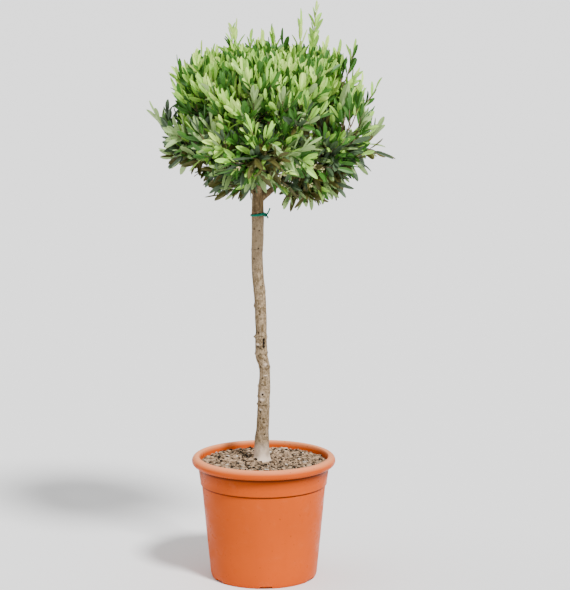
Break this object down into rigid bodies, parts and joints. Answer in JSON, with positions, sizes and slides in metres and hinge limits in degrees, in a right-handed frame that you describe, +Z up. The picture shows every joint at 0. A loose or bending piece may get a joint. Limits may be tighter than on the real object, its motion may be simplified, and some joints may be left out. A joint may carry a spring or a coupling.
{
  "type": "potted olive tree",
  "caption": "Young olive tree on a bare stem with a dense rounded crown, growing in a round terracotta-coloured plastic nursery pot.",
  "frame": {"origin": "centre of the pot's flat underside", "axes": "+Z up along the pot's axis, the plant's height; the front, as pictured, faces -Y, and +X is to the right seen from the front"},
  "size_m": [0.5771, 0.5353, 1.398],
  "materials": {
    "pot_plastic": "matte moulded terracotta-coloured plastic, faintly dusty",
    "potting_soil": "dry crumbly grey-brown compost",
    "bark": "smooth beige-grey young bark with fine fissures and old pruning marks",
    "tie_twine": "green twisted garden twine",
    "foliage": "grey-green narrow leaves, satin above and pale silvery below"
  },
  "bodies": {
    "root": {"pot": "pot_plastic", "soil": "potting_soil", "trunk": "bark", "leader": "bark", "bough_high_1": "bark", "bough_high_2": "bark", "bough_high_3": "bark", "bough_low_1": "bark", "bough_low_2": "bark", "bough_low_3": "bark", "bough_low_4": "bark", "trunk_tie": "tie_twine", "foliage_top": "foliage", "foliage_high_1": "foliage", "foliage_high_2": "foliage", "foliage_high_3": "foliage", "foliage_low_1": "foliage", "foliage_low_2": "foliage", "foliage_low_3": "foliage", "foliage_low_4": "foliage"}
  },
  "joints": []
}
